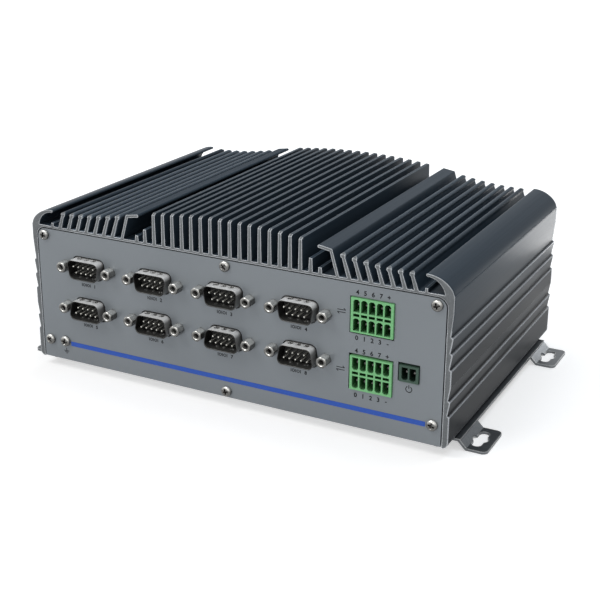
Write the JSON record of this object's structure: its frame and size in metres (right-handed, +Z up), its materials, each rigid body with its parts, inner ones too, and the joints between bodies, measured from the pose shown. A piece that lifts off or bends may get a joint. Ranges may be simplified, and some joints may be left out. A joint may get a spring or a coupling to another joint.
{
  "type": "fanless industrial computer",
  "caption": "Box computer in a finned aluminium extrusion with serial ports and plug-in terminals on the front, rear sockets and a mounting plate with slotted ears.",
  "frame": {"origin": "middle of the whole unit seen from above, connectors and screw heads included, on the face its ears stand on", "axes": "+X along the front panel to its right as seen from the front, +Y from the front panel to the rear panel, +Z up"},
  "size_m": [0.2364, 0.15, 0.088],
  "materials": {
    "anodised_housing": "satin",
    "panel_paint": "satin",
    "stripe_film": "satin",
    "plate_steel": "satin",
    "cover_steel": "satin",
    "nickel_screw": "polished",
    "nickel_shell": "polished",
    "black_insulator": "matte",
    "gold_contact": "polished",
    "green_header": "satin",
    "dark_header": "satin",
    "green_board": "satin",
    "black_part": "matte",
    "silicon": "polished",
    "grey_pad": "matte",
    "bare_aluminium": "satin",
    "can_aluminium": "satin",
    "cell_steel": "polished"
  },
  "bodies": {
    "root": {"antenna_hole_plugs": "black_part", "board_link_connector": "black_part", "bottom_cover": "cover_steel", "capacitors": "can_aluminium", "clock_battery": "cell_steel", "clock_battery_holder": "black_part", "cover_screws": "nickel_screw", "display_port": "nickel_shell", "front_io_board": "green_board", "front_panel": "panel_paint", "front_panel_screws": "nickel_screw", "ground_screw": "nickel_screw", "header_pins": "gold_contact", "heat_block": "bare_aluminium", "heat_block_screws": "nickel_screw", "heatsink_housing": "anodised_housing", "main_board": "green_board", "memory_module": "green_board", "memory_socket": "black_part", "mounting_plate": "plate_steel", "mounting_plate_screws": "nickel_screw", "network_port_1": "nickel_shell", "network_port_2": "nickel_shell", "panel_stripe": "stripe_film", "power_coils": "black_part", "power_inlet": "green_header", "power_inlet_pins": "gold_contact", "processor": "silicon", "rear_panel": "panel_paint", "rear_panel_screws": "nickel_screw", "remote_header": "dark_header", "serial_insulator_1": "black_insulator", "serial_insulator_2": "black_insulator", "serial_insulator_3": "black_insulator", "serial_insulator_4": "black_insulator", "serial_insulator_5": "black_insulator", "serial_insulator_6": "black_insulator", "serial_insulator_7": "black_insulator", "serial_insulator_8": "black_insulator", "serial_jackscrews": "nickel_screw", "serial_pins": "gold_contact", "serial_shell_1": "nickel_shell", "serial_shell_2": "nickel_shell", "serial_shell_3": "nickel_shell", "serial_shell_4": "nickel_shell", "serial_shell_5": "nickel_shell", "serial_shell_6": "nickel_shell", "serial_shell_7": "nickel_shell", "serial_shell_8": "nickel_shell", "signal_header_1": "green_header", "signal_header_2": "green_header", "storage_card": "green_board", "storage_post": "nickel_screw", "storage_screw": "nickel_screw", "storage_socket": "black_part", "thermal_pads": "grey_pad", "usb_port_1": "nickel_shell", "usb_port_2": "nickel_shell"}
  },
  "joints": []
}
